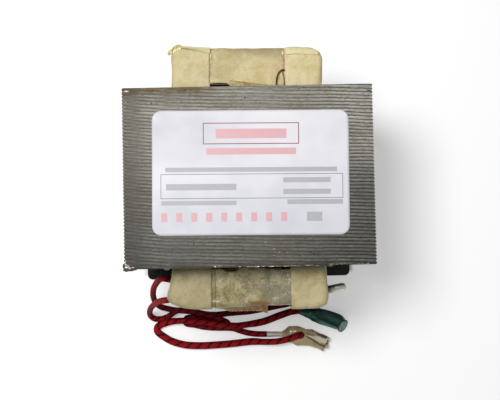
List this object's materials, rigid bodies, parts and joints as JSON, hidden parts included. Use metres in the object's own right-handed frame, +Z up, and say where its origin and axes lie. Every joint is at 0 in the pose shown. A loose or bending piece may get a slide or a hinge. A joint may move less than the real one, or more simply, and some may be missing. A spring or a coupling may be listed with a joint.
{
  "type": "step-up transformer",
  "caption": "Shell-type step-up transformer: welded lamination core on a base plate, papered windings and red braided leads with sleeved push-on terminals.",
  "frame": {"origin": "middle of the base plate's underside, at the centre of its four fixing holes", "axes": "+Z up from the base plate along the windings' axis, +Y through the stack of laminations towards the primary tabs, +X across the core"},
  "size_m": [0.1064, 0.1509, 0.0887],
  "materials": {
    "plate_paint": "black varnish over steel, semi-matt",
    "lamination": "stacked silicon steel edges under thin varnish",
    "weld": "dull rippled weld metal",
    "shunt_steel": "dark sheet edges",
    "former_paper": "pressed board soaked in varnish",
    "enamelled_copper": "enamelled wire under varnish, glossy",
    "insulation_paper": "cream insulating paper, varnish-stained",
    "varnished_film": "amber varnished film",
    "fibre_board": "pressed fibre board",
    "tinned_steel": "tinned, satin",
    "label_paper": "white printed label, smooth",
    "red_braid": "braided red sleeve with a dark tracer",
    "green_sleeve": "clear dark green sleeve",
    "clear_sleeve": "aged clear sleeve"
  },
  "bodies": {
    "root": {"base_plate": "plate_paint", "base_weld_left": "weld", "base_weld_right": "weld", "core_e": "lamination", "core_i": "lamination", "seam_weld_left": "weld", "seam_weld_right": "weld", "shunt_left": "shunt_steel", "shunt_right": "shunt_steel", "primary_former": "former_paper", "secondary_former": "former_paper", "primary_coil": "enamelled_copper", "short_winding": "red_braid", "secondary_coil": "enamelled_copper", "primary_paper_left": "insulation_paper", "primary_paper_right": "insulation_paper", "secondary_paper_left": "insulation_paper", "secondary_paper_right": "insulation_paper", "primary_end_paper_front": "insulation_paper", "primary_end_paper_back": "insulation_paper", "secondary_end_paper_front": "insulation_paper", "secondary_end_paper_back": "insulation_paper", "film_front": "varnished_film", "film_back": "varnished_film", "tab_board": "fibre_board", "primary_tab_left": "tinned_steel", "primary_tab_right": "tinned_steel", "hv_tab": "tinned_steel", "ground_lug": "tinned_steel", "ground_wire": "enamelled_copper", "label": "label_paper", "lead_front": "red_braid", "lead_side": "red_braid", "link_lead": "red_braid", "sleeve_green": "green_sleeve", "terminal_green": "tinned_steel", "sleeve_clear": "clear_sleeve", "terminal_clear": "tinned_steel", "terminal_link": "tinned_steel"}
  },
  "joints": []
}
